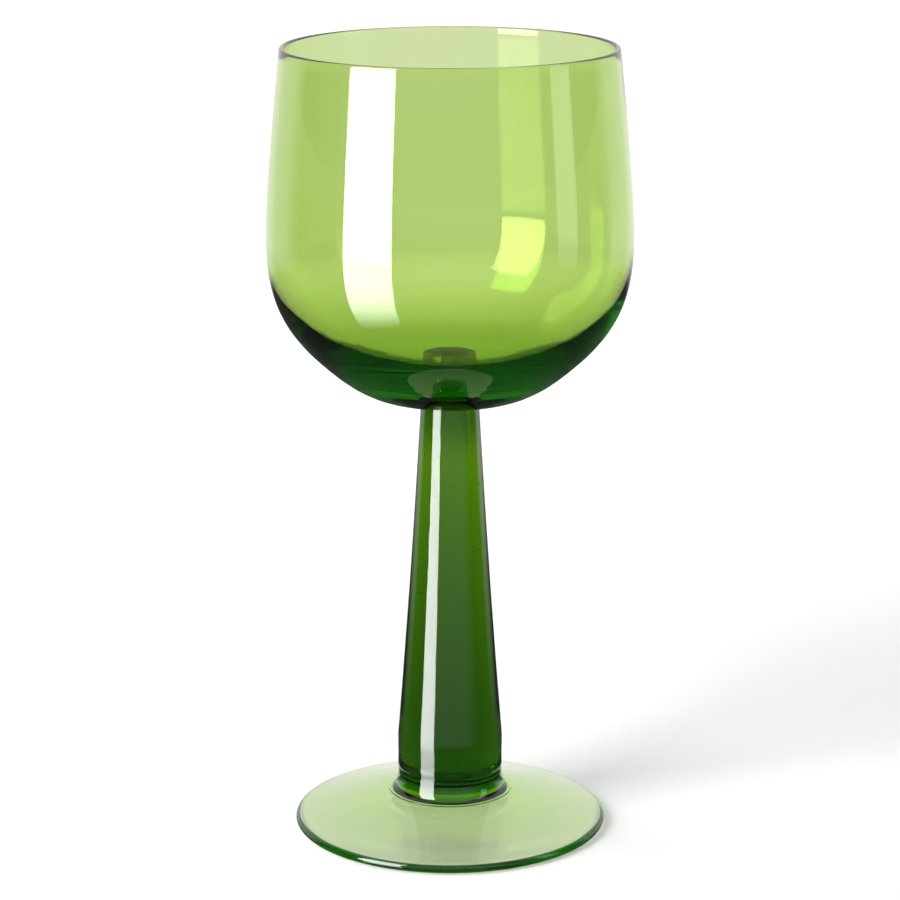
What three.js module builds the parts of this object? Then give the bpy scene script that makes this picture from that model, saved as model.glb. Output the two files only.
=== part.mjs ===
// A wine glass in solid-coloured green glass: a blown bowl with a thick floor, a solid
// tapered stem, and a domed disc foot. The three are made apart and joined hot.
// The glass stands on the XY plane with its axis on Z. Lengths are in millimetres.

import * as THREE from "three";

// Overall
const OVERALL_HEIGHT = 200;
const BOWL_HEIGHT = 88.6; // from the bowl's underside to its rim

// Bowl, outside. Heights are above the bowl's underside.
const RIM_RADIUS = 41.9;
const RIM_LEAN = 6; // degrees that the side leans inwards at the rim
const BELLY_RADIUS = 45.65; // the widest place
const BELLY_HEIGHT = 40.7;
const FLANK_RADIUS = 33; // a place halfway up the bowl's sloping lower side
const FLANK_HEIGHT = 10.8;
const FLANK_SLOPE = 42.3; // degrees
const UNDERSIDE_RADIUS = 8.5; // the level middle of the underside

// Bowl, thickness of its glass
const RIM_WALL = 1.4;
const BELLY_WALL = 1.6;
const FLANK_WALL = 4.3;
const FLANK_INNER_SLOPE = 33; // degrees, gentler than outside, so the glass thickens downwards
const FLOOR_WALL = 9;
const FLOOR_RADIUS = 7; // the level middle of the inner floor

// Stem. Heights are above the stem's lower face.
const STEM_TOP_RADIUS = 7.4;
const STEM_SHOULDER = 1.6; // radius of the rounding under the bowl
const STEM_WAIST_RADIUS = 13.4;
const STEM_WAIST_HEIGHT = 14.3; // where the taper begins
const STEM_HOLLOWING = 0.3; // how far the taper's middle lies inside a straight line
const HEEL_RADIUS = 15.8; // the flare that is pressed on to the foot
const HEEL_HEIGHT = 5;
const HEEL_EDGE = 0.3;

// Foot
const FOOT_RADIUS = 39.8;
const FOOT_EDGE = 2.4; // thickness of the rounded edge
const FOOT_CENTRE_HEIGHT = 8.7;
const HEEL_MARGIN = 0.6; // level landing left round the heel
const REST_RING_WIDTH = 1.2; // flat ring that the glass stands on, just inside the rounded edge
const FOOT_WALL = 3.1; // thickness at the middle, over the hollow underside
const HOLLOW_RADIUS = 11; // the level middle of the hollow

// Facets round each piece
const BOWL_SIDES = 56;
const STEM_SIDES = 40;
const FOOT_SIDES = 56;

// How much of the way to the corner each end of a rounded bend is pulled
const FLOOR_BEND = { start: 0.9, end: 0.62 };
const BELLY_BEND = { start: 0.8, end: 0.65 };
const RIM_BEND = { start: 0.87, end: 0.6 };
const HOLLOW_BEND = { start: 0.85, end: 0.85 };

// Places that follow from the sizes
const BOWL_BASE_Z = OVERALL_HEIGHT - BOWL_HEIGHT;
const STEM_LENGTH = BOWL_BASE_Z - FOOT_CENTRE_HEIGHT;

const radians = THREE.MathUtils.degToRad;
const point = (radius, height) => new THREE.Vector2(radius, height);

function arc(centre, radius, fromDegrees, toDegrees, steps) {
  const points = [];
  for (let i = 0; i <= steps; i += 1) {
    const angle = radians(THREE.MathUtils.lerp(fromDegrees, toDegrees, i / steps));
    points.push(point(Math.cos(angle), Math.sin(angle)).multiplyScalar(radius).add(centre));
  }
  return points;
}

// A smooth bend from start to end that leaves and arrives along the lines to the corner.
function bend(start, corner, end, pull, steps) {
  const leaving = start.clone().lerp(corner, pull.start);
  const arriving = end.clone().lerp(corner, pull.end);
  return new THREE.CubicBezierCurve(start, leaving, arriving, end).getPoints(steps);
}

// Joins stretches end to end and keeps one of each pair of points that meet.
function outline(...stretches) {
  const joined = [];
  for (const next of stretches.flat()) {
    const last = joined.at(-1);
    if (!last || last.distanceTo(next) > 1e-4) {
      joined.push(next);
    }
  }
  return joined;
}

// One side of the bowl's glass, from the level middle to the rim: a bend up to the flank,
// a bend to the upright belly, and a bend in to the leaning rim.
function bowlSide({ middle, flank, belly, rim, flankSlope }, steps) {
  const slope = Math.tan(radians(flankSlope));
  const lean = Math.tan(radians(RIM_LEAN));
  const floorCorner = point(flank.x - (flank.y - middle.y) / slope, middle.y);
  const bellyCorner = point(belly.x, flank.y + (belly.x - flank.x) * slope);
  const rimCorner = point(belly.x, rim.y - (belly.x - rim.x) / lean);
  const upperCorner = rimCorner.y > belly.y ? rimCorner : belly.clone().lerp(rim, 0.5);
  return outline(
    bend(middle, floorCorner, flank, FLOOR_BEND, steps),
    bend(flank, bellyCorner, belly, BELLY_BEND, steps),
    bend(belly, upperCorner, rim, RIM_BEND, steps),
  );
}

function bowlProfile() {
  const lip = RIM_WALL / 2;
  const rimZ = BOWL_HEIGHT - lip;
  const flank = point(FLANK_RADIUS, FLANK_HEIGHT);
  const inward = point(-Math.sin(radians(FLANK_SLOPE)), Math.cos(radians(FLANK_SLOPE)));
  const outside = bowlSide({
    middle: point(UNDERSIDE_RADIUS, 0),
    flank,
    belly: point(BELLY_RADIUS, BELLY_HEIGHT),
    rim: point(RIM_RADIUS, rimZ),
    flankSlope: FLANK_SLOPE,
  }, 7);
  const inside = bowlSide({
    middle: point(FLOOR_RADIUS, FLOOR_WALL),
    flank: flank.clone().addScaledVector(inward, FLANK_WALL),
    belly: point(BELLY_RADIUS - BELLY_WALL, BELLY_HEIGHT),
    rim: point(RIM_RADIUS - RIM_WALL, rimZ),
    flankSlope: FLANK_INNER_SLOPE,
  }, 6);
  return outline(
    [point(0, 0)],
    outside,
    arc(point(RIM_RADIUS - lip, rimZ), lip, 0, 180, 4),
    inside.reverse(),
    [point(0, FLOOR_WALL)],
  );
}

function stemProfile() {
  const shoulderZ = STEM_LENGTH - STEM_SHOULDER;
  const heelTop = point(STEM_WAIST_RADIUS, HEEL_HEIGHT);
  const heelEdge = point(HEEL_RADIUS, HEEL_EDGE);
  const waist = point(STEM_WAIST_RADIUS, STEM_WAIST_HEIGHT);
  const neck = point(STEM_TOP_RADIUS, shoulderZ);
  const halfway = waist.clone().lerp(neck, 0.5).sub(point(STEM_HOLLOWING * 2, 0));
  return outline(
    [point(0, 0), point(HEEL_RADIUS, 0)],
    new THREE.QuadraticBezierCurve(
      heelEdge, point(STEM_WAIST_RADIUS, HEEL_EDGE), heelTop,
    ).getPoints(5),
    new THREE.QuadraticBezierCurve(waist, halfway, neck).getPoints(8),
    arc(point(STEM_TOP_RADIUS - STEM_SHOULDER, shoulderZ), STEM_SHOULDER, 0, 90, 4),
    [point(0, STEM_LENGTH)],
  );
}

function footProfile() {
  const edge = FOOT_EDGE / 2;
  const edgeCentre = point(FOOT_RADIUS - edge, edge);
  const ringOuter = edgeCentre.x;
  const ringInner = ringOuter - REST_RING_WIDTH;
  const landing = point(HEEL_RADIUS + HEEL_MARGIN, FOOT_CENTRE_HEIGHT);
  const top = new THREE.CubicBezierCurve(
    point(edgeCentre.x, FOOT_EDGE),
    point(edgeCentre.x, FOOT_EDGE).lerp(landing, 0.35),
    point(edgeCentre.x, FOOT_EDGE).lerp(landing, 0.65),
    landing,
  ).getPoints(3);
  const hollowZ = FOOT_CENTRE_HEIGHT - FOOT_WALL;
  const hollow = bend(
    point(0, hollowZ), point(HOLLOW_RADIUS, hollowZ), point(ringInner, 0), HOLLOW_BEND, 8,
  );
  return outline(
    [point(ringInner, 0), point(ringOuter, 0)],
    arc(edgeCentre, edge, -90, 90, 6),
    top,
    [point(0, FOOT_CENTRE_HEIGHT)],
    hollow,
  );
}

function glass(colour) {
  return new THREE.MeshStandardMaterial({
    color: colour,
    roughness: 0.03,
    metalness: 0,
    transparent: true,
    opacity: 0.45,
  });
}

// Turns a closed outline about Z. A lathe turns about Y, so its geometry is stood upright.
function turned(name, profile, sides, material, baseZ) {
  const geometry = new THREE.LatheGeometry(profile, sides);
  geometry.rotateX(Math.PI / 2);
  const mesh = new THREE.Mesh(geometry, material);
  mesh.name = name;
  mesh.position.z = baseZ;
  return mesh;
}

const wineGlass = new THREE.Group();
wineGlass.name = "wine_glass";
wineGlass.add(
  turned("foot", footProfile(), FOOT_SIDES, glass(0x8fbf5a), 0),
  turned("stem", stemProfile(), STEM_SIDES, glass(0x3f7a1c), FOOT_CENTRE_HEIGHT),
  turned("bowl", bowlProfile(), BOWL_SIDES, glass(0x9ccb4f), BOWL_BASE_Z),
);

export default wineGlass;
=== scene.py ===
"""A wine glass in transparent green glass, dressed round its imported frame.

The frame holds three nodes: bowl, stem and foot. Each is replaced here by a finely turned
piece of glass with the faint unevenness of hand work. Lengths are in metres and angles in
degrees unless a name says otherwise.
"""

import logging
import math
import random
from dataclasses import dataclass, field
from enum import Enum
from typing import Callable

import bmesh
import bpy
from mathutils import Matrix, Vector, noise


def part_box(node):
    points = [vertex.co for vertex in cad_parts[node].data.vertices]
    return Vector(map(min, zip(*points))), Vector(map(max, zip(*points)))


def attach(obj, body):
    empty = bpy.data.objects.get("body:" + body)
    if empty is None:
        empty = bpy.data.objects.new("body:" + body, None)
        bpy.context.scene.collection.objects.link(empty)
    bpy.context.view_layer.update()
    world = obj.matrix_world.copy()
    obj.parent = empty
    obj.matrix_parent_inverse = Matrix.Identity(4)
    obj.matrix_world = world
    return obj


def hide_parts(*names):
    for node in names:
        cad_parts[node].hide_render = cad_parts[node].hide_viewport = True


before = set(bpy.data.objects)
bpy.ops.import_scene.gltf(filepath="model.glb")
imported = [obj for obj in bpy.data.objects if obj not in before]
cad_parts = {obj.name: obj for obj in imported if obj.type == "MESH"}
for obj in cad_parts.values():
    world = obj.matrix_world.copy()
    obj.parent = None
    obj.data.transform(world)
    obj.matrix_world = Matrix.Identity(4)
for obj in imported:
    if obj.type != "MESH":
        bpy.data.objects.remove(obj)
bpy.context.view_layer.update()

log = logging.getLogger("wine_glass")

MM = 0.001
BODY = "root"
WHITE = (1.0, 1.0, 1.0, 1.0)

# The mesh attribute that marks fused faces, and the gap that keeps them apart.
FUSED = "fused"
FUSED_GAP = 0.02 * MM

# A radius or a height below this counts as none.
NOTHING = 0.001 * MM

# Corners sharper than this stay crisp, in degrees.
CRISP_CORNER = 40


class Joint(Enum):
    """Whether a stretch of surface is open to the air or fused to the next piece."""

    OPEN = 0.0
    FUSED = 1.0


@dataclass(frozen=True)
class Bend:
    """How far each end of a bend is pulled towards its corner, as a share of the way."""

    start: float
    end: float
    steps: int


@dataclass(frozen=True)
class Node:
    """The frame's measurements of one CAD node."""

    low: Vector
    high: Vector

    @classmethod
    def of(cls, name: str) -> "Node":
        """Reads a node's box from the frame.

        Args:
            name: The CAD node's name.

        Returns:
            The node's lowest and highest corners.
        """
        low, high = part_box(name)
        return cls(Vector(low), Vector(high))

    @property
    def radius(self) -> float:
        """Largest radius of a node that is turned about Z."""
        return (self.high.x - self.low.x) / 2


class Outline:
    """A closed outline in radius and height, grown stretch by stretch from the axis."""

    def __init__(self, start: Vector) -> None:
        """Starts the outline.

        Args:
            start: The first point, as (radius, height).
        """
        self.points: list[Vector] = [start.copy()]
        self.joints: list[Joint] = [Joint.OPEN]

    @property
    def last(self) -> Vector:
        """The newest point."""
        return self.points[-1]

    def _add(self, point: Vector, joint: Joint) -> None:
        """Adds one point, with what the surface up to it meets."""
        self.points.append(point.copy())
        self.joints.append(joint)

    def line(self, end: Vector, steps: int = 1, joint: Joint = Joint.OPEN) -> "Outline":
        """Adds a straight stretch.

        Args:
            end: The stretch's last point.
            steps: How many pieces it is cut into.
            joint: What the stretch meets.

        Returns:
            The same outline.
        """
        start = self.last.copy()
        for i in range(1, steps + 1):
            self._add(start.lerp(end, i / steps), joint)
        return self

    def bend(self, corner: Vector, end: Vector, shape: Bend) -> "Outline":
        """Adds a smooth bend that leaves and arrives along the lines to its corner.

        Args:
            corner: Where the two straight directions cross.
            end: The bend's last point.
            shape: How tightly it turns, and how many pieces it is cut into.

        Returns:
            The same outline.
        """
        start = self.last.copy()
        leaving = start.lerp(corner, shape.start)
        arriving = end.lerp(corner, shape.end)
        for i in range(1, shape.steps + 1):
            t = i / shape.steps
            u = 1 - t
            self._add(
                start * u**3 + leaving * 3 * u * u * t + arriving * 3 * u * t * t + end * t**3,
                Joint.OPEN,
            )
        return self

    def arc(self, centre: Vector, start: float, end: float, steps: int) -> "Outline":
        """Adds an arc that starts at the newest point.

        Args:
            centre: The arc's centre.
            start: The angle of its first point, in degrees.
            end: The angle of its last point.
            steps: How many pieces it is cut into.

        Returns:
            The same outline.
        """
        radius = (self.last - centre).length
        for i in range(1, steps + 1):
            angle = math.radians(start + (end - start) * i / steps)
            self._add(centre + Vector((math.cos(angle), math.sin(angle))) * radius, Joint.OPEN)
        return self


Unevenness = Callable[[float, float, float], float]


def outward_normals(points: list[Vector]) -> list[Vector]:
    """Gives the outward direction at each point of an outline.

    Args:
        points: The outline's points, outside first.

    Returns:
        One direction of length 1 for each point.
    """
    normals = []
    for i in range(len(points)):
        along = points[min(i + 1, len(points) - 1)] - points[max(i - 1, 0)]
        normals.append(Vector((along.y, -along.x)).normalized())
    return normals


def turned_mesh(name: str, outline: Outline, sides: int, unevenness: Unevenness) -> bpy.types.Mesh:
    """Turns an outline about Z into one closed mesh, and works its surface by hand.

    Args:
        name: The mesh's name.
        outline: The outline, from the axis round to the axis, outside first.
        sides: How many faces go round.
        unevenness: How far inwards the surface lies at a radius, height and angle.

    Returns:
        The mesh, smooth-shaded, with sharp corners kept, and the fused faces marked.
    """
    points = outline.points
    normals = outward_normals(points)
    build = bmesh.new()
    fused = build.verts.layers.float.new(FUSED)
    rings: list[list[bmesh.types.BMVert]] = []
    for i, point in enumerate(points):
        joined = Joint.FUSED in outline.joints[i:i + 2]
        on_axis = point.x < NOTHING
        ring = []
        for k in range(1 if on_axis else sides):
            angle = math.tau * k / sides
            sunk = 0.0 if on_axis or joined else unevenness(point.x, point.y, angle)
            radius = point.x - normals[i].x * sunk
            vert = build.verts.new(
                (radius * math.cos(angle), radius * math.sin(angle), point.y - normals[i].y * sunk)
            )
            vert[fused] = Joint.FUSED.value if joined else Joint.OPEN.value
            ring.append(vert)
        rings.append(ring)
    for lower, upper in zip(rings, rings[1:]):
        for k in range(sides):
            n = (k + 1) % sides
            if len(lower) == 1:
                build.faces.new((lower[0], upper[n], upper[k]))
            elif len(upper) == 1:
                build.faces.new((lower[k], lower[n], upper[0]))
            else:
                build.faces.new((lower[k], lower[n], upper[n], upper[k]))
    bmesh.ops.recalc_face_normals(build, faces=build.faces)
    mesh = bpy.data.meshes.new(name)
    build.to_mesh(mesh)
    build.free()
    mesh.shade_smooth()
    mesh.set_sharp_from_angle(angle=math.radians(CRISP_CORNER))
    return mesh


@dataclass(frozen=True)
class HandWork:
    """The faint unevenness that blowing, pulling and pressing leave in a glass surface."""

    depth: float
    patch: float
    seed: float

    def at(self, radius: float, height: float, angle: float) -> float:
        """Gives how far the surface is sunk by its broad unevenness.

        Args:
            radius: Distance from the axis.
            height: Height in the frame.
            angle: Angle round the axis, in radians.

        Returns:
            A depth between 0 and the full depth.
        """
        place = Vector((radius * math.cos(angle), radius * math.sin(angle), height)) / self.patch
        return self.depth * (0.5 + 0.5 * noise.noise(place + Vector((self.seed,) * 3)))


@dataclass(frozen=True)
class Rings:
    """Fine rings left by turning a piece on the iron, over a band of its outline."""

    depth: float
    spacing: float
    seed: float
    drift: float = 0.9
    drift_scale: float = 0.8

    def at(self, along: float, angle: float, weight: float) -> float:
        """Gives how far the rings sink the surface.

        Args:
            along: Distance along the outline.
            angle: Angle round the axis, in radians.
            weight: Strength of the rings here, from 0 to 1.

        Returns:
            A depth between 0 and the full depth.
        """
        if weight <= 0:
            return 0.0
        around = Vector((math.cos(angle), math.sin(angle), self.seed))
        drift = noise.noise(around * self.drift_scale) * self.drift
        wave = noise.noise(Vector((along / self.spacing, drift, self.seed)))
        return self.depth * weight * (0.5 + 0.5 * wave)


@dataclass(frozen=True)
class Seeds:
    """Tiny bubbles caught in thick glass, spread through a round slice of it."""

    count: int
    reach: float
    low: float
    high: float
    smallest: float
    largest: float
    seed: int
    subdivisions: int = 2

    def scatter(self, mesh: bpy.types.Mesh) -> None:
        """Adds the bubbles to a mesh as small hollows.

        Args:
            mesh: The piece's mesh.
        """
        pick = random.Random(self.seed)
        build = bmesh.new()
        build.from_mesh(mesh)
        for _ in range(self.count):
            angle = pick.uniform(0, math.tau)
            out = self.reach * math.sqrt(pick.random())
            place = Matrix.Translation(
                (out * math.cos(angle), out * math.sin(angle), pick.uniform(self.low, self.high))
            )
            size = pick.uniform(self.smallest, self.largest)
            ball = bmesh.ops.create_icosphere(
                build, subdivisions=self.subdivisions, radius=size, matrix=place
            )
            hollow = {face for vert in ball["verts"] for face in vert.link_faces}
            bmesh.ops.reverse_faces(build, faces=list(hollow))
            for face in hollow:
                face.smooth = True
        build.to_mesh(mesh)
        build.free()


def smooth_step(low: float, high: float, value: float) -> float:
    """Rises smoothly from 0 at low to 1 at high."""
    t = min(max((value - low) / (high - low), 0.0), 1.0)
    return t * t * (3 - 2 * t)


def calculate(
    tree: bpy.types.NodeTree, operation: str, *terms: bpy.types.NodeSocket | float
) -> bpy.types.NodeSocket:
    """Adds a calculation to a node tree.

    Args:
        tree: The node tree.
        operation: What is calculated.
        terms: The terms, each a number or another node's output.

    Returns:
        The result's output.
    """
    node = tree.nodes.new("ShaderNodeMath")
    node.operation = operation
    for socket, term in zip(node.inputs, terms):
        if isinstance(term, (int, float)):
            socket.default_value = term
        else:
            tree.links.new(term, socket)
    return node.outputs[0]


def ease(
    tree: bpy.types.NodeTree,
    value: bpy.types.NodeSocket,
    start: float,
    end: float,
    low: bpy.types.NodeSocket | float = 0.0,
    high: bpy.types.NodeSocket | float = 1.0,
) -> bpy.types.NodeSocket:
    """Adds a smooth passage from one value to another to a node tree.

    Args:
        tree: The node tree.
        value: The output that it depends on.
        start: Where the passage starts.
        end: Where it ends.
        low: The value up to its start.
        high: The value from its end on.

    Returns:
        The passage's output.
    """
    node = tree.nodes.new("ShaderNodeMapRange")
    node.interpolation_type = "SMOOTHSTEP"
    tree.links.new(value, node.inputs["Value"])
    for name, term in (("From Min", start), ("From Max", end), ("To Min", low), ("To Max", high)):
        if isinstance(term, (int, float)):
            node.inputs[name].default_value = term
        else:
            tree.links.new(term, node.inputs[name])
    return node.outputs["Result"]


def height_of(tree: bpy.types.NodeTree, place: str) -> bpy.types.NodeSocket:
    """Adds the height of a place or a direction to a node tree.

    Args:
        tree: The node tree.
        place: The kind of coordinates.

    Returns:
        The output with the height.
    """
    where = tree.nodes.new("ShaderNodeTexCoord")
    split = tree.nodes.new("ShaderNodeSeparateXYZ")
    tree.links.new(where.outputs[place], split.inputs[0])
    return split.outputs["Z"]


# The wave heights between which the glass passes from untouched to handled.
HANDLED_WAVES = (0.45, 0.75)


def surface_group() -> bpy.types.NodeTree:
    """Builds the node group for the surface of fire-polished glass.

    Returns:
        A group that puts out the height of a faint skin texture and a roughness.
    """
    tree = bpy.data.node_groups.new("fire_polished_surface", "ShaderNodeTree")
    for name, default in (
        ("Wave Scale", 60.0),
        ("Grain Scale", 900.0),
        ("Grain Share", 0.15),
        ("Least Roughness", 0.0),
        ("Most Roughness", 0.03),
    ):
        socket = tree.interface.new_socket(name, in_out="INPUT", socket_type="NodeSocketFloat")
        socket.default_value = default
    tree.interface.new_socket("Height", in_out="OUTPUT", socket_type="NodeSocketFloat")
    tree.interface.new_socket("Roughness", in_out="OUTPUT", socket_type="NodeSocketFloat")
    nodes, links = tree.nodes, tree.links
    given = nodes.new("NodeGroupInput")
    out = nodes.new("NodeGroupOutput")
    place = nodes.new("ShaderNodeTexCoord")
    wave = nodes.new("ShaderNodeTexNoise")
    wave.inputs["Detail"].default_value = 1.0
    grain = nodes.new("ShaderNodeTexNoise")
    grain.inputs["Detail"].default_value = 2.0
    for texture, scale in ((wave, "Wave Scale"), (grain, "Grain Scale")):
        links.new(place.outputs["Object"], texture.inputs["Vector"])
        links.new(given.outputs[scale], texture.inputs["Scale"])
    share = given.outputs["Grain Share"]
    height = calculate(tree, "MULTIPLY_ADD", grain.outputs["Fac"], share, wave.outputs["Fac"])
    links.new(height, out.inputs["Height"])
    least, most = given.outputs["Least Roughness"], given.outputs["Most Roughness"]
    handled = ease(tree, wave.outputs["Fac"], *HANDLED_WAVES, least, most)
    links.new(handled, out.inputs["Roughness"])
    return tree


@dataclass(frozen=True)
class PaintedShadeEnd:
    """A stretch at a piece's upper end where the surface colour is darkened as painted shade."""

    start: float
    end: float
    # The painted shade's colour, which the surface takes at the stretch's end.
    skin: tuple[float, float, float]


@dataclass(frozen=True)
class GreenGlass:
    """Solid-coloured glass: clear, fire polished, and darker the thicker it is.

    The absorption is how much light each metre takes away, in red, green and blue, and the
    skin is the tint that each surface adds. The margin keeps every absorption colour above 0.
    A painted shade end, where one is given, darkens the surface colour towards the upper end.
    """

    name: str
    absorption: tuple[float, float, float]
    skin: tuple[float, float, float] = (1.0, 1.0, 1.0)
    ior: float = 1.5
    bump: float = 0.02
    bump_distance: float = 0.1 * MM
    wave_scale: float = 60.0
    grain_share: float = 0.02
    most_roughness: float = 0.03
    margin: float = 1.02
    # Painted shade that darkens the surface colour towards the upper end, if any.
    painted_shade_end: PaintedShadeEnd | None = None

    def material(self, surface: bpy.types.NodeTree) -> bpy.types.Material:
        """Builds the material.

        Args:
            surface: The node group of a fire-polished surface.

        Returns:
            The material, with a plain absorption in its volume.
        """
        made = bpy.data.materials.new(self.name)
        made.use_nodes = True
        tree = made.node_tree
        tree.nodes.clear()
        out = tree.nodes.new("ShaderNodeOutputMaterial")
        shader = tree.nodes.new("ShaderNodeBsdfPrincipled")
        shader.inputs["Base Color"].default_value = (*self.skin, 1)
        shader.inputs["Transmission Weight"].default_value = 1.0
        tree.links.new(shader.outputs["BSDF"], out.inputs["Surface"])
        self._bend_light(tree, shader)
        self._roughen(tree, shader, surface)
        self._absorb(tree, out)
        # Painted shade at the upper end, darkening the surface colour there.
        if self.painted_shade_end:
            self._paint_end_shade(tree, shader)
        return made

    def _bend_light(self, tree: bpy.types.NodeTree, shader: bpy.types.Node) -> None:
        """Bends light at the open surface, and lets it pass straight where pieces are fused.

        Args:
            tree: The material's node tree.
            shader: The glass shader.
        """
        mark = tree.nodes.new("ShaderNodeAttribute")
        mark.attribute_name = FUSED
        ior = tree.nodes.new("ShaderNodeMapRange")
        ior.inputs["To Min"].default_value = self.ior
        ior.inputs["To Max"].default_value = 1.0
        tree.links.new(mark.outputs["Fac"], ior.inputs["Value"])
        tree.links.new(ior.outputs["Result"], shader.inputs["IOR"])

    def _roughen(
        self, tree: bpy.types.NodeTree, shader: bpy.types.Node, surface: bpy.types.NodeTree
    ) -> None:
        """Adds the faint waves and handling marks of the surface.

        Args:
            tree: The material's node tree.
            shader: The glass shader.
            surface: The node group of a fire-polished surface.
        """
        polish = tree.nodes.new("ShaderNodeGroup")
        polish.node_tree = surface
        polish.inputs["Wave Scale"].default_value = self.wave_scale
        polish.inputs["Grain Share"].default_value = self.grain_share
        polish.inputs["Most Roughness"].default_value = self.most_roughness
        tree.links.new(polish.outputs["Roughness"], shader.inputs["Roughness"])
        bump = tree.nodes.new("ShaderNodeBump")
        bump.inputs["Strength"].default_value = self.bump
        bump.inputs["Distance"].default_value = self.bump_distance
        tree.links.new(polish.outputs["Height"], bump.inputs["Height"])
        tree.links.new(bump.outputs["Normal"], shader.inputs["Normal"])

    def _paint_end_shade(self, tree: bpy.types.NodeTree, shader: bpy.types.Node) -> None:
        """Paints shade into the surface colour towards the piece's upper end.

        Args:
            tree: The material's node tree.
            shader: The glass shader.
        """
        height = height_of(tree, "Object")
        share = ease(tree, height, self.painted_shade_end.start, self.painted_shade_end.end)
        mix = tree.nodes.new("ShaderNodeMix")
        mix.data_type = "RGBA"
        # Passes from the glass's own skin to the painted shade's darker colour towards the top.
        factor, plain, painted_shade = mix.inputs[0], mix.inputs[6], mix.inputs[7]
        plain.default_value = (*self.skin, 1)
        painted_shade.default_value = (*self.painted_shade_end.skin, 1)
        tree.links.new(share, factor)
        tree.links.new(mix.outputs[2], shader.inputs["Base Color"])

    def _absorb(self, tree: bpy.types.NodeTree, out: bpy.types.Node) -> None:
        """Tints the glass by its depth.

        Args:
            tree: The material's node tree.
            out: The material's output node.
        """
        density = max(self.absorption) * self.margin
        volume = tree.nodes.new("ShaderNodeVolumeAbsorption")
        volume.inputs["Color"].default_value = (*[1 - a / density for a in self.absorption], 1)
        volume.inputs["Density"].default_value = density
        tree.links.new(volume.outputs["Volume"], out.inputs["Volume"])


@dataclass
class Piece:
    """One turned piece of the glass, which stands for one CAD node."""

    node_name: str
    slot: str
    finish: GreenGlass
    sides: int = 240
    seeds: Seeds | None = None
    node: Node = field(init=False)

    def __post_init__(self) -> None:
        """Measures the CAD node once, since every vertex is placed from it."""
        self.node = Node.of(self.node_name)

    def outline(self) -> Outline:
        """Gives the piece's outline."""
        raise NotImplementedError

    def unevenness(self, radius: float, height: float, angle: float) -> float:
        """Gives how far inwards the surface lies at a radius, height and angle."""
        raise NotImplementedError

    def build(self, surface: bpy.types.NodeTree) -> bpy.types.Object:
        """Builds the piece, dresses it and puts it in the frame.

        Args:
            surface: The node group of a fire-polished surface.

        Returns:
            The piece's object.
        """
        name = f"{self.node_name}_glass"
        mesh = turned_mesh(name, self.outline(), self.sides, self.unevenness)
        if self.seeds:
            self.seeds.scatter(mesh)
        mesh.materials.append(self.finish.material(surface))
        piece = bpy.data.objects.new(name, mesh)
        bpy.context.scene.collection.objects.link(piece)
        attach(piece, BODY)
        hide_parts(self.node_name)
        log.info("%s: %d faces", name, len(mesh.polygons))
        return piece


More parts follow.
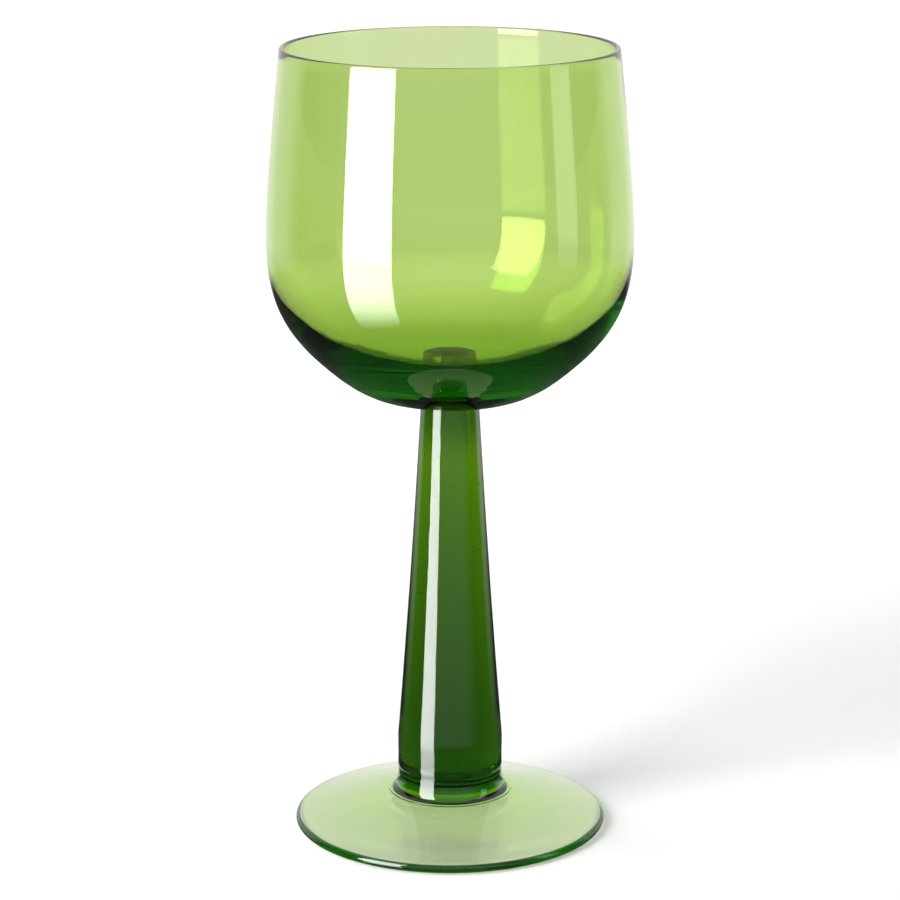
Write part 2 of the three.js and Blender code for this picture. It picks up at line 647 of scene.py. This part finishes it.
@dataclass
class Bowl(Piece):
    """The blown bowl. Heights are above its underside.

    The rings of its thick floor reach up to a share of the belly's height.
    """

    rim_radius: float = 41.9 * MM
    rim_wall: float = 1.4 * MM
    rim_lean: float = 6.0
    belly_height: float = 40.7 * MM
    belly_wall: float = 1.6 * MM
    flank_radius: float = 33.0 * MM
    flank_height: float = 10.8 * MM
    flank_slope: float = 42.3
    flank_wall: float = 4.3 * MM
    flank_inner_slope: float = 33.0
    floor_wall: float = 9.0 * MM
    floor_radius: float = 7.0 * MM
    underside_radius: float = 8.5 * MM
    neck_radius: float = 5.8 * MM
    to_flank: Bend = Bend(0.9, 0.62, steps=44)
    to_belly: Bend = Bend(0.8, 0.65, steps=36)
    to_rim: Bend = Bend(0.87, 0.6, steps=24)
    lip_steps: int = 14
    joint_steps: int = 3
    underside_steps: int = 4
    floor_steps: int = 5
    rings_reach: float = 0.8
    hand_work: HandWork = HandWork(depth=0.12 * MM, patch=28 * MM, seed=3.1)
    floor_rings: Rings = Rings(depth=0.07 * MM, spacing=2.6 * MM, seed=7.7)

    def _side(
        self, outline: Outline, flank_slope: float, flank: Vector, belly: Vector, rim: Vector
    ) -> None:
        """Adds one side of the glass, from the outline's level middle up to the rim.

        Args:
            outline: The outline to add to.
            flank_slope: How steep the flank is, in degrees.
            flank: The place halfway up the flank.
            belly: The widest place.
            rim: The top.
        """
        middle = outline.last.copy()
        slope = math.tan(math.radians(flank_slope))
        lean = math.tan(math.radians(self.rim_lean))
        floor_corner = Vector((flank.x - (flank.y - middle.y) / slope, middle.y))
        belly_corner = Vector((belly.x, flank.y + (belly.x - flank.x) * slope))
        rim_corner = Vector((belly.x, rim.y - (belly.x - rim.x) / lean))
        outline.bend(floor_corner, flank, self.to_flank)
        outline.bend(belly_corner, belly, self.to_belly)
        outline.bend(rim_corner, rim, self.to_rim)

    def outline(self) -> Outline:
        """Gives the bowl's outline.

        Returns:
            The outside, the rim, the inside and the floor, from the axis round to the axis.
        """
        node = self.node
        base = Vector((0, node.low.z))
        lip = self.rim_wall / 2
        flank = base + Vector((self.flank_radius, self.flank_height))
        belly = base + Vector((node.radius, self.belly_height))
        rim = Vector((self.rim_radius, node.high.z - lip))
        start = base + Vector((0, FUSED_GAP))
        made = Outline(start)
        made.line(start + Vector((self.neck_radius, 0)), self.joint_steps, Joint.FUSED)
        made.line(base + Vector((self.underside_radius, 0)), self.underside_steps)
        self._side(made, self.flank_slope, flank, belly, rim)
        made.arc(rim - Vector((lip, 0)), 0, 180, self.lip_steps)
        for point in reversed(self._inside(base, flank, belly, rim).points[:-1]):
            made.line(point)
        return made.line(base + Vector((0, self.floor_wall)), self.floor_steps)

    def _inside(self, base: Vector, flank: Vector, belly: Vector, rim: Vector) -> Outline:
        """Gives the inside, from the edge of the level floor up to the rim.

        Args:
            base: The middle of the underside.
            flank: The place halfway up the flank, outside.
            belly: The widest place, outside.
            rim: The top, outside.

        Returns:
            The outline of the inside.
        """
        angle = math.radians(self.flank_slope)
        inward = Vector((-math.sin(angle), math.cos(angle)))
        inside = Outline(base + Vector((self.floor_radius, self.floor_wall)))
        self._side(
            inside,
            self.flank_inner_slope,
            flank + inward * self.flank_wall,
            belly - Vector((self.belly_wall, 0)),
            rim - Vector((self.rim_wall, 0)),
        )
        return inside

    def unevenness(self, radius: float, height: float, angle: float) -> float:
        """Gives the broad unevenness, with turning rings round the thick floor.

        Args:
            radius: Distance from the axis.
            height: Height in the frame.
            angle: Angle round the axis, in radians.

        Returns:
            How far inwards the surface lies.
        """
        above = height - self.node.low.z
        rings_end = self.belly_height * self.rings_reach
        weight = 1 - smooth_step(self.flank_height, rings_end, above)
        rings = self.floor_rings.at(radius + above, angle, weight)
        return self.hand_work.at(radius, height, angle) + rings


@dataclass
class Stem(Piece):
    """The solid stem. Heights are above its lower face."""

    top_radius: float = 7.4 * MM
    shoulder: float = 1.6 * MM
    waist_radius: float = 13.4 * MM
    waist_height: float = 14.3 * MM
    hollowing: float = 0.3 * MM
    heel_height: float = 5.0 * MM
    heel_edge: float = 0.3 * MM
    rings_fade_in: tuple[float, float] = (1.5 * MM, 4.0 * MM)
    rings_fade_out: tuple[float, float] = (9.0 * MM, 14.0 * MM)
    to_waist: Bend = Bend(2 / 3, 2 / 3, steps=14)
    to_neck: Bend = Bend(2 / 3, 2 / 3, steps=60)
    heel_steps: int = 4
    heel_edge_steps: int = 2
    waist_steps: int = 24
    shoulder_steps: int = 10
    joint_steps: int = 3
    hand_work: HandWork = HandWork(depth=0.06 * MM, patch=16 * MM, seed=12.4)
    heel_rings: Rings = Rings(depth=0.10 * MM, spacing=1.3 * MM, seed=5.2)

    def outline(self) -> Outline:
        """Gives the stem's outline.

        Returns:
            The lower face, the heel, the taper, the shoulder and the upper face.
        """
        node = self.node
        base = Vector((0, node.low.z))
        start = base + Vector((0, FUSED_GAP))
        top = node.high.z - FUSED_GAP
        neck = Vector((self.top_radius, top - self.shoulder))
        waist = base + Vector((self.waist_radius, self.waist_height))
        heel_edge = base + Vector((node.radius, self.heel_edge))
        heel_corner = base + Vector((self.waist_radius, self.heel_edge))
        heel_top = base + Vector((self.waist_radius, self.heel_height))
        half = waist.lerp(neck, 0.5) - Vector((self.hollowing * 2, 0))
        made = Outline(start)
        made.line(start + Vector((node.radius, 0)), self.heel_steps, Joint.FUSED)
        made.line(heel_edge, self.heel_edge_steps)
        made.bend(heel_corner, heel_top, self.to_waist)
        made.line(waist, self.waist_steps)
        made.bend(half, neck, self.to_neck)
        made.arc(neck - Vector((self.shoulder, 0)), 0, 90, self.shoulder_steps)
        return made.line(Vector((0, top)), self.joint_steps, Joint.FUSED)

    def unevenness(self, radius: float, height: float, angle: float) -> float:
        """Gives the broad unevenness, with turning rings just above the heel.

        Args:
            radius: Distance from the axis.
            height: Height in the frame.
            angle: Angle round the axis, in radians.

        Returns:
            How far inwards the surface lies.
        """
        above = height - self.node.low.z
        weight = smooth_step(*self.rings_fade_in, above)
        weight *= 1 - smooth_step(*self.rings_fade_out, above)
        return self.hand_work.at(radius, height, angle) + self.heel_rings.at(above, angle, weight)


@dataclass
class Foot(Piece):
    """The pressed disc foot. Heights are above the surface that it stands on."""

    edge: float = 2.4 * MM
    ring_width: float = 1.2 * MM
    wall: float = 3.1 * MM
    hollow_radius: float = 11.0 * MM
    heel_margin: float = 0.6 * MM
    to_ring: Bend = Bend(0.85, 0.85, steps=60)
    ring_steps: int = 4
    edge_steps: int = 24
    dome_steps: int = 40
    joint_steps: int = 4
    hand_work: HandWork = HandWork(depth=0.08 * MM, patch=22 * MM, seed=21.9)

    def outline(self) -> Outline:
        """Gives the foot's outline.

        Returns:
            The hollow underside, the ring, the edge, the domed top and the landing.
        """
        node = self.node
        heel = Node.of("stem").radius
        half = self.edge / 2
        edge_centre = Vector((node.radius - half, half))
        ring_outer = edge_centre.x
        ring_inner = ring_outer - self.ring_width
        top = node.high.z
        landing = Vector((heel + self.heel_margin, top))
        hollow = top - self.wall
        made = Outline(Vector((0, hollow)))
        made.bend(Vector((self.hollow_radius, hollow)), Vector((ring_inner, 0)), self.to_ring)
        made.line(Vector((ring_outer, 0)), self.ring_steps)
        made.arc(edge_centre, -90, 90, self.edge_steps)
        made.line(landing, self.dome_steps)
        made.line(Vector((heel, top)))
        made.line(Vector((heel, top - FUSED_GAP)))
        return made.line(Vector((0, top - FUSED_GAP)), self.joint_steps, Joint.FUSED)

    def unevenness(self, radius: float, height: float, angle: float) -> float:
        """Gives the broad unevenness of the pressed disc, which spares its flat ring.

        Args:
            radius: Distance from the axis.
            height: Height in the frame.
            angle: Angle round the axis, in radians.

        Returns:
            How far inwards the surface lies.
        """
        if height < NOTHING:
            return 0.0
        return self.hand_work.at(radius, height, angle)


@dataclass(frozen=True)
class SoftBox:
    """A large soft light panel that faces the glass and fades towards its lower end."""

    name: str
    azimuth: float
    distance: float
    width: float
    bottom: float
    top: float
    fade: float
    brightness: float
    seen_in_glass: bool = True

    def build(self) -> bpy.types.Object:
        """Hangs the panel upright, turned to the glass.

        Returns:
            The panel's object.
        """
        turn = math.radians(self.azimuth)
        away = Vector((math.sin(turn), -math.cos(turn), 0))
        across = Vector((away.y, -away.x, 0)) * (self.width / 2)
        foot = away * self.distance + Vector((0, 0, self.bottom))
        head = away * self.distance + Vector((0, 0, self.top))
        mesh = bpy.data.meshes.new(self.name)
        corners = (foot - across, foot + across, head + across, head - across)
        mesh.from_pydata([tuple(c) for c in corners], [], [(0, 1, 2, 3)])
        mesh.materials.append(self._glow())
        panel = bpy.data.objects.new(self.name, mesh)
        panel.visible_camera = False
        panel.visible_glossy = self.seen_in_glass
        panel.visible_transmission = self.seen_in_glass
        bpy.context.scene.collection.objects.link(panel)
        return panel

    def _glow(self) -> bpy.types.Material:
        """Makes the glowing cloth of the panel.

        Returns:
            A material that fades smoothly towards the panel's lower end.
        """
        made = bpy.data.materials.new(self.name)
        made.use_nodes = True
        tree = made.node_tree
        tree.nodes.clear()
        out = tree.nodes.new("ShaderNodeOutputMaterial")
        glow = tree.nodes.new("ShaderNodeEmission")
        height = height_of(tree, "Object")
        strength = ease(
            tree, height, self.bottom, self.bottom + self.fade, high=self.brightness
        )
        tree.links.new(strength, glow.inputs["Strength"])
        tree.links.new(glow.outputs[0], out.inputs["Surface"])
        return made


@dataclass(frozen=True)
class Board:
    """A wide level sheet of pale board, faintly lit from below.

    Its glow passes from near to far over the glow's reach, measured from the glass's axis, and
    its sheen dies out over the sheen's reach.
    """

    name: str
    drop: float
    behind_glass: bool
    shade: float
    glow_near: float
    glow_far: float
    sheen: float
    glow_reach: tuple[float, float] = (0.12, 0.6)
    sheen_reach: tuple[float, float] = (0.45, 0.7)
    half_width: float = 4.0
    roughness: float = 0.15

    def build(self) -> bpy.types.Object:
        """Lays the board a hair under the glass.

        Returns:
            The board's object.
        """
        h, z = self.half_width, -self.drop
        mesh = bpy.data.meshes.new(self.name)
        mesh.from_pydata([(-h, -h, z), (h, -h, z), (h, h, z), (-h, h, z)], [], [(0, 1, 2, 3)])
        mesh.materials.append(self._card())
        board = bpy.data.objects.new(self.name, mesh)
        board.visible_glossy = False
        board.visible_transmission = self.behind_glass
        board.visible_camera = not self.behind_glass
        bpy.context.scene.collection.objects.link(board)
        return board

    def _card(self) -> bpy.types.Material:
        """Makes the board's card.

        Returns:
            A material whose glow grows with the distance from the glass.
        """
        made = bpy.data.materials.new(self.name)
        made.use_nodes = True
        tree = made.node_tree
        shader = tree.nodes["Principled BSDF"]
        shader.inputs["Base Color"].default_value = (self.shade,) * 3 + (1,)
        shader.inputs["Roughness"].default_value = self.roughness
        shader.inputs["Emission Color"].default_value = WHITE
        place = tree.nodes.new("ShaderNodeTexCoord")
        reach = tree.nodes.new("ShaderNodeVectorMath")
        reach.operation = "LENGTH"
        tree.links.new(place.outputs["Object"], reach.inputs[0])
        away = reach.outputs["Value"]
        glow = ease(tree, away, *self.glow_reach, self.glow_near, self.glow_far)
        sheen = ease(tree, away, *self.sheen_reach, self.sheen, 0.0)
        tree.links.new(glow, shader.inputs["Emission Strength"])
        tree.links.new(sheen, shader.inputs["Specular IOR Level"])
        return made


@dataclass(frozen=True)
class Surround:
    """The pale surround, by direction from the glass.

    Each band is a list of (share of a half turn from the front, brightness). The skirt and the
    roof are given by the height of the direction: the lower band passes into the upper one over
    the skirt, and the upper one into the overhead light over the roof.
    """

    upper: tuple[tuple[float, float], ...] = (
        (0.0, 0.55), (0.22, 0.5), (0.38, 0.06), (0.6, 0.06), (0.68, 1.05), (1.0, 1.05)
    )
    lower: tuple[tuple[float, float], ...] = ((0.0, 0.1), (0.5, 0.08), (0.7, 0.06), (1.0, 0.06))
    overhead: float = 1.0
    skirt: tuple[float, float] = (-0.27, -0.17)
    roof: tuple[float, float] = (0.55, 0.8)

    def build(self) -> None:
        """Builds the surround as the scene's world."""
        world = bpy.data.worlds.new("surround")
        world.use_nodes = True
        tree = world.node_tree
        turn = self._turn(tree)
        height = height_of(tree, "Generated")
        upper = self._band(tree, turn, self.upper)
        lower = self._band(tree, turn, self.lower)
        walls = ease(tree, height, *self.skirt, lower, upper)
        whole = ease(tree, height, *self.roof, walls, self.overhead)
        tree.links.new(whole, tree.nodes["Background"].inputs["Color"])
        bpy.context.scene.world = world

    def _turn(self, tree: bpy.types.NodeTree) -> bpy.types.NodeSocket:
        """Gives the turn of a direction from the front.

        Args:
            tree: The world's node tree.

        Returns:
            An output that runs from 0 in front to 1 behind.
        """
        place = tree.nodes.new("ShaderNodeTexCoord")
        split = tree.nodes.new("ShaderNodeSeparateXYZ")
        tree.links.new(place.outputs["Generated"], split.inputs[0])
        ahead = calculate(tree, "MULTIPLY", split.outputs["Y"], -1.0)
        angle = calculate(tree, "ARCTAN2", split.outputs["X"], ahead)
        return calculate(tree, "DIVIDE", calculate(tree, "ABSOLUTE", angle), math.pi)

    def _band(
        self,
        tree: bpy.types.NodeTree,
        turn: bpy.types.NodeSocket,
        levels: tuple[tuple[float, float], ...],
    ) -> bpy.types.NodeSocket:
        """Gives the brightness of one band.

        Args:
            tree: The world's node tree.
            turn: The turn from the front.
            levels: The band's brightness at each turn.

        Returns:
            The brightness at the given turn.
        """
        curve = tree.nodes.new("ShaderNodeFloatCurve")
        line = curve.mapping.curves[0]
        top = max(level for _, level in levels)
        line.points[0].location = (levels[0][0], levels[0][1] / top)
        line.points[1].location = (levels[-1][0], levels[-1][1] / top)
        for position, level in levels[1:-1]:
            line.points.new(position, level / top)
        for point in line.points:
            point.handle_type = "VECTOR"
        curve.mapping.update()
        tree.links.new(turn, curve.inputs["Value"])
        return calculate(tree, "MULTIPLY", curve.outputs["Value"], top)


@dataclass
class Studio:
    """The boards, the soft lights, the pale surround and the camera."""

    camera_distance: float = 0.77623
    camera_height: float = 0.29628
    camera_pitch: float = 14.31
    lens: float = 127.27
    glass_layers: int = 24
    clear_layers: int = 16
    surround: Surround = Surround()
    boards: tuple[Board, ...] = (
        Board("table", 0.3 * MM, False, shade=0.55, glow_near=0.16, glow_far=0.6, sheen=0.0),
        Board("lit_board", 0.5 * MM, True, shade=0.4, glow_near=0.42, glow_far=0.48, sheen=0.5),
    )
    panels: tuple[SoftBox, ...] = (
        SoftBox(
            "key_panel", azimuth=-51.5, distance=0.95, width=0.55, bottom=-0.8, top=1.0,
            fade=0.75, brightness=17.0,
        ),
        SoftBox(
            "side_panel", azimuth=76.0, distance=1.1, width=0.3, bottom=-0.1, top=1.0,
            fade=0.15, brightness=2.0,
        ),
        SoftBox(
            "shadow_panel", azimuth=-112.0, distance=1.0, width=0.5, bottom=0.25, top=1.2,
            fade=0.1, brightness=5.0, seen_in_glass=False,
        ),
    )

    def build(self) -> None:
        """Builds the whole studio."""
        for board in self.boards:
            board.build()
        self.surround.build()
        for panel in self.panels:
            panel.build()
        self._camera()
        self._film()

    def _camera(self) -> None:
        """Stands the camera in front of the glass, looking slightly down at its middle."""
        data = bpy.data.cameras.new("camera")
        data.lens = self.lens
        camera = bpy.data.objects.new("camera", data)
        camera.location = (0, -self.camera_distance, self.camera_height)
        camera.rotation_euler = (math.radians(90 - self.camera_pitch), 0, 0)
        bpy.context.scene.collection.objects.link(camera)
        bpy.context.scene.camera = camera

    def _film(self) -> None:
        """Shows plain white as white, and lets light cross many layers of glass."""
        scene = bpy.context.scene
        scene.view_settings.view_transform = "Standard"
        scene.cycles.use_denoising = True
        scene.cycles.max_bounces = self.glass_layers
        scene.cycles.transmission_bounces = self.glass_layers
        scene.cycles.glossy_bounces = self.glass_layers
        scene.cycles.transparent_max_bounces = self.clear_layers


def main() -> None:
    """Builds the glass piece by piece, then the studio round it."""
    logging.basicConfig(level=logging.INFO, format="%(name)s: %(message)s")
    surface = surface_group()
    bowl_green = GreenGlass(
        "bowl_green_glass", absorption=(78, 33, 250), skin=(0.785, 0.872, 0.6),
    )
    stem_green = GreenGlass(
        "stem_green_glass", absorption=(155, 90, 400),
        # Painted shade: the stem's surface colour is darkened over its top, under the bowl.
        painted_shade_end=PaintedShadeEnd(start=94 * MM, end=108 * MM, skin=(0.25, 0.4, 0.2)),
    )
    foot_green = GreenGlass(
        "foot_green_glass", absorption=(60, 22, 130), skin=(0.88, 0.912, 0.795),
    )
    floor_seeds = Seeds(
        count=12, reach=15 * MM, low=114 * MM, high=118.5 * MM,
        smallest=0.10 * MM, largest=0.22 * MM, seed=4,
    )
    stem_seeds = Seeds(
        count=16, reach=5.5 * MM, low=14 * MM, high=104 * MM,
        smallest=0.12 * MM, largest=0.28 * MM, seed=11,
    )
    for piece in (
        Bowl("bowl", "bowl_glass", bowl_green, seeds=floor_seeds),
        Stem("stem", "stem_glass", stem_green, sides=160, seeds=stem_seeds),
        Foot("foot", "foot_glass", foot_green),
    ):
        piece.build(surface)
    Studio().build()


if __name__ == "__main__":
    main()
